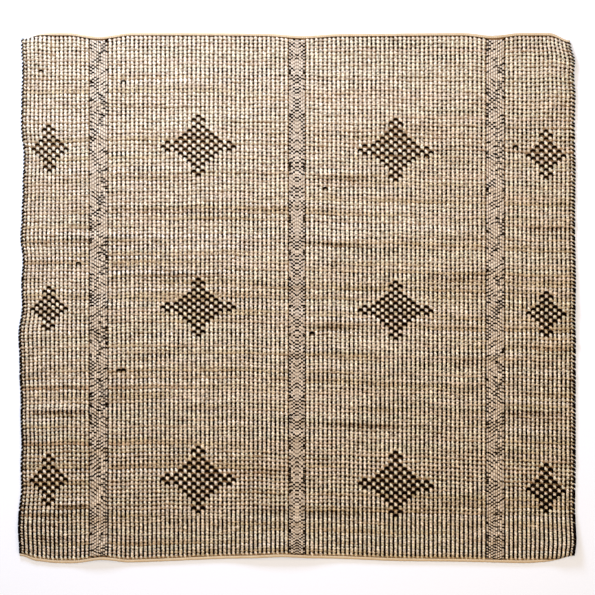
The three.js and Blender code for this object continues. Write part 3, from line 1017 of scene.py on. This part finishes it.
def addBand(band, light, black):
    name = ("left", "centre", "right")[band]
    left, right = (side * mm for side in weave["bands"][band])
    cords, picks = weave["bandCords"], weave["rows"] * weave["picksInRow"]
    pitch = (right - left - 2 * bandTwill["margin"]) / cords
    cordX = left + bandTwill["margin"] + pitch * (np.arange(cords) + 0.5)
    pickY = rowsDown((np.arange(picks) + 0.5) / weave["picksInRow"])
    dips, sink, line, lean = bandPattern(band)
    swing = drift(cords, pickY, [90, 31, 13], 40 + band)
    height = bandTwill["high"] - (bandTwill["high"] - bandTwill["dip"]) * sink.T
    height = height + bandTwill["unevenHeight"] * swing
    x = cordX[:, None] + bandTwill["unevenX"] * swing
    y = weftY(x, np.repeat(pickY[None, :], cords, axis=0))
    section = ringSection(bandTwill["sides"], 0.5)
    halfWide = bandTwill["halfWide"] * pitch * (1 + bandTwill["unevenWide"] * swing)
    pointX = x[..., None] + halfWide[..., None] * section[:, 0]
    pointHeight = height[..., None] + bandTwill["halfHigh"] * section[:, 1]
    points = clothPoint(pointX, y[..., None] + 0 * pointX, pointHeight)
    quads, caps = tubeFaces(cords, picks, bandTwill["sides"])
    # the crossings, one to a whole number, lean with the dark lines
    crossing = 0.5 * line.T[..., None] + 0.25 * bandTwill["slope"] * lean.T[..., None] * section[:, 0]
    values = np.stack(np.broadcast_arrays(x[..., None], crossing, sink.T[..., None]), axis=-1).reshape(-1, 3)
    cordPiece = meshPiece(f"{name}BandCords", points.reshape(-1, 3), quads, caps, values=values)
    cordPiece.data.materials.append(light)

    # each dot is a short closed lozenge of the weft, four-sided, with three rings
    at, which = np.nonzero(dips)
    chance = np.random.default_rng(50 + band).uniform(-1, 1, (3, len(at)))
    unevenSize, unevenPlace = bandTwill["dotUneven"]
    dotY = pickY[at] + unevenPlace * chance[1]
    dotX = cordX[which] + unevenPlace * chance[2]
    rings = np.array(bandTwill["dotRings"])
    fat = np.array(bandTwill["dotFat"]) * (1 + unevenSize * chance[0])[:, None]
    ringX = dotX[:, None] + rings * pitch * bandTwill["dotHalfLong"]
    climb = bandTwill["dotHalfLong"] * bandTwill["slope"] * lean[at, which] * rowPitch / weave["picksInRow"]
    ringY = weftY(ringX, np.repeat(dotY[:, None], len(rings), axis=1)) + rings * climb[:, None]
    section = ringSection(4, 0)
    wide = fat[..., None] * bandTwill["dotHalfWide"] * section[:, 0]
    high = fat[..., None] * bandTwill["dotHalfHigh"] * section[:, 1]
    ringHeight = np.array(bandTwill["dotHeight"])[None, :, None] + high
    points = clothPoint(ringX[..., None] + 0 * wide, ringY[..., None] + wide, ringHeight)
    quads, caps = tubeFaces(len(at), len(rings), 4)
    row = (at / weave["picksInRow"])[:, None, None]
    values = np.stack(np.broadcast_arrays(ringX[..., None], row, np.zeros(4)), axis=-1).reshape(-1, 3)
    dotPiece = meshPiece(f"{name}BandDots", points.reshape(-1, 3), quads, caps, values=values)
    dotPiece.data.materials.append(black)
    return [cordPiece, dotPiece]


# Bindings: a folded cotton tape over each end, with a row of stitches along its inner edge

binding = {
    "height": 9 * mm,
    "tape": 1.6 * mm,
    "gap": 0.3 * mm,
    "round": (3.2 * mm, 1.2 * mm),  # how far the fold bulges outside and inside
    "sideIn": 0.5 * mm,  # the tape stops this far inside each selvedge
    "step": 8 * mm,
    "uneven": (0.05, 0.03),  # of its width and of its height
    "stitchesFrom": 8 * mm,
    "stitchEvery": 7 * mm,
    "stitchLong": 4.4 * mm,
    "stitchThick": 0.55 * mm,
    "stitchFlat": 1.3,  # times as wide as high
    "stitchIn": 2.2 * mm,  # from the tape's inner edge
    "stitchRings": [-1.0, -0.6, 0.6, 1.0],
    "stitchRise": [-0.9, 0.1, 0.1, -0.9],  # of each ring, in millimetres
}


def tapeSection():
    # the folded tape seen from the side: outwards from the cloth, and height above its underside
    wide, half, tape = lie["bindingWidth"], binding["height"] / 2, binding["tape"]
    slot = half - tape
    bulge, innerBulge = binding["round"]
    bend = np.radians(np.linspace(-90, 90, 9))
    outer = [(wide - bulge + bulge * math.cos(a), half + (half * math.sin(a))) for a in bend]
    inner = [(wide - tape - innerBulge * (1 - math.cos(a)), half + slot * math.sin(a)) for a in bend[::-2]]
    lip = binding["gap"]
    return np.array([(lip, 0)] + outer + [(lip, 2 * half), (lip, half + slot)] + inner + [(lip, half - slot)])


def addBinding(name, node, end, tape):
    section = tapeSection()
    reach = halfWidth - binding["sideIn"]
    flatX = np.linspace(-reach, reach, int(2 * reach / binding["step"]) + 1)
    clothEnd = halfLength - lie["bindingWidth"]
    flatY = np.full_like(flatX, end * clothEnd)
    placeX, placeY, placeZ, angle = (part[:, None] for part in clothFrame(flatX, flatY))
    swing = drift(1, flatX, [61, 23, 17], 60 + end)[0][:, None]
    unevenWide, unevenHigh = binding["uneven"]
    out = section[None, :, 0] * (1 + unevenWide * swing)
    across = (section[None, :, 1] - lie["middleHeight"]) * (1 + unevenHigh * swing)
    forward = out * np.cos(angle) + across * np.sin(angle)
    rise = across * np.cos(angle) - out * np.sin(angle)
    points = np.stack([placeX + 0 * out, placeY + end * forward, placeZ + rise], axis=-1)
    if end < 0:  # so that the faces look outwards
        points = points[:, ::-1]
    quads, caps = tubeFaces(1, len(flatX), len(section))
    piece = meshPiece(name, points.reshape(-1, 3), quads, caps)
    piece.data.materials.append(tape)
    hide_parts(node)
    return piece


def addStitches(name, end, thread):
    clothEnd = halfLength - lie["bindingWidth"]
    reach = halfWidth - binding["stitchesFrom"]
    count = int(2 * reach / binding["stitchEvery"])
    rings = np.array(binding["stitchRings"])
    ringRise = np.array(binding["stitchRise"]) * mm
    flatX = np.linspace(-reach, reach, count)[:, None] + rings * binding["stitchLong"] / 2
    flatY = np.full_like(flatX, end * clothEnd)
    placeX, placeY, placeZ, angle = (part[..., None] for part in clothFrame(flatX, flatY))
    section = ringSection(4, 0.5) * binding["stitchThick"]
    across = binding["height"] - lie["middleHeight"] + ringRise[None, :, None] + section[:, 1]
    out = binding["stitchIn"] + section[:, 0] * binding["stitchFlat"] + 0 * across
    forward = out * np.cos(angle) + across * np.sin(angle)
    rise = across * np.cos(angle) - out * np.sin(angle)
    points = np.stack([placeX + 0 * out, placeY + end * forward, placeZ + rise], axis=-1)
    if end < 0:  # so that the faces look outwards
        points = points[:, :, ::-1]
    quads, caps = tubeFaces(count, len(rings), 4)
    piece = meshPiece(name, points.reshape(-1, 3), quads, caps)
    piece.data.materials.append(thread)
    return piece


# Floor, lights and camera

studio = {
    "floorSize": 14.0,
    "floorLevel": -0.4 * mm,
    "floorColour": "#d6deec",
    "floorGlow": ("#ecf3ff", 0.43),
    "air": ("#ffe0c0", 0.28),
    "cameraHeight": 5.2,
    "cameraSensor": 36,
    "frameWide": 1.969,  # metres of floor across the picture
    "pictureSide": 595,
    "rugMiddle": (297.0, 298.0),  # where the rug's middle stands in the picture
    "lights": [  # name, place, aim, size, power and colour
        ("keyWindow", (-1.05, 2.7, 1.8), (-0.1, 0.1, 0), 1.05, 126, "#dae8ff"),
        ("nearLamp", (-0.3, 0.7, 1.5), (-0.15, 0.45, 0), 0.9, 2, "#bcd2ff"),
        ("softFill", (0.4, 0.1, 3.2), (0, 0, 0), 3.0, 71, "#ffdeb2"),
    ],
}


def addStudio():
    bpy.ops.object.select_all(action="DESELECT")
    bpy.ops.mesh.primitive_plane_add(size=studio["floorSize"], location=(0, 0, studio["floorLevel"]))
    floor = bpy.context.object
    floor.name = "studioFloor"
    floor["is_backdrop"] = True
    material, _, shader = newMaterial("whiteFloor", 0.9)
    glow, glowStrength = studio["floorGlow"]
    shader.inputs["Base Color"].default_value = hexColor(studio["floorColour"])
    shader.inputs["Emission Color"].default_value = hexColor(glow)
    shader.inputs["Emission Strength"].default_value = glowStrength
    floor.data.materials.append(material)

    camera = bpy.data.objects.new("camera", bpy.data.cameras.new("camera"))
    bpy.context.collection.objects.link(camera)
    camera.data.sensor_width = studio["cameraSensor"]
    camera.data.lens = studio["cameraSensor"] * studio["cameraHeight"] / studio["frameWide"]
    camera.location = (0, 0, studio["cameraHeight"])
    side = studio["pictureSide"]
    camera.data.shift_x = (side / 2 - studio["rugMiddle"][0]) / side
    camera.data.shift_y = (studio["rugMiddle"][1] - side / 2) / side
    bpy.context.scene.camera = camera

    for name, place, aim, size, power, colour in studio["lights"]:
        light = bpy.data.objects.new(name, bpy.data.lights.new(name, "AREA"))
        bpy.context.collection.objects.link(light)
        light.data.size = size
        light.data.energy = power
        light.data.color = hexColor(colour)[:3]
        light.location = place
        direction = np.array(aim) - np.array(place)
        light.rotation_mode = "QUATERNION"
        light.rotation_quaternion = Vector(direction).to_track_quat("-Z", "Y")

    world = bpy.data.worlds.new("studioAir")
    world.use_nodes = True
    airColour, airStrength = studio["air"]
    world.node_tree.nodes["Background"].inputs["Color"].default_value = hexColor(airColour)
    world.node_tree.nodes["Background"].inputs["Strength"].default_value = airStrength
    bpy.context.scene.world = world
    bpy.context.scene.view_settings.view_transform = "Standard"


addStudio()
print("studio done")
wefts, jute, black = addWefts()
print("wefts done")
warp = addGround()
print("ground done")
cream = cottonMaterial("creamCord", cottonLook["light"], cottonLook["dark"])
bands = [piece for band in range(3) for piece in addBand(band, cream, black)]
print("bands done")
tape = tapeMaterial()
bindings = [
    addBinding("topBinding", "top_binding", 1, tape),
    addBinding("bottomBinding", "bottom_binding", -1, tape),
]
stitches = [addStitches("topStitches", 1, cream), addStitches("bottomStitches", -1, cream)]
print("bindings done")

total = 0
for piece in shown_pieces():
    piece.data.calc_loop_triangles()
    total += len(piece.data.loop_triangles)
    print(piece.name, len(piece.data.loop_triangles))
print("triangles", total)
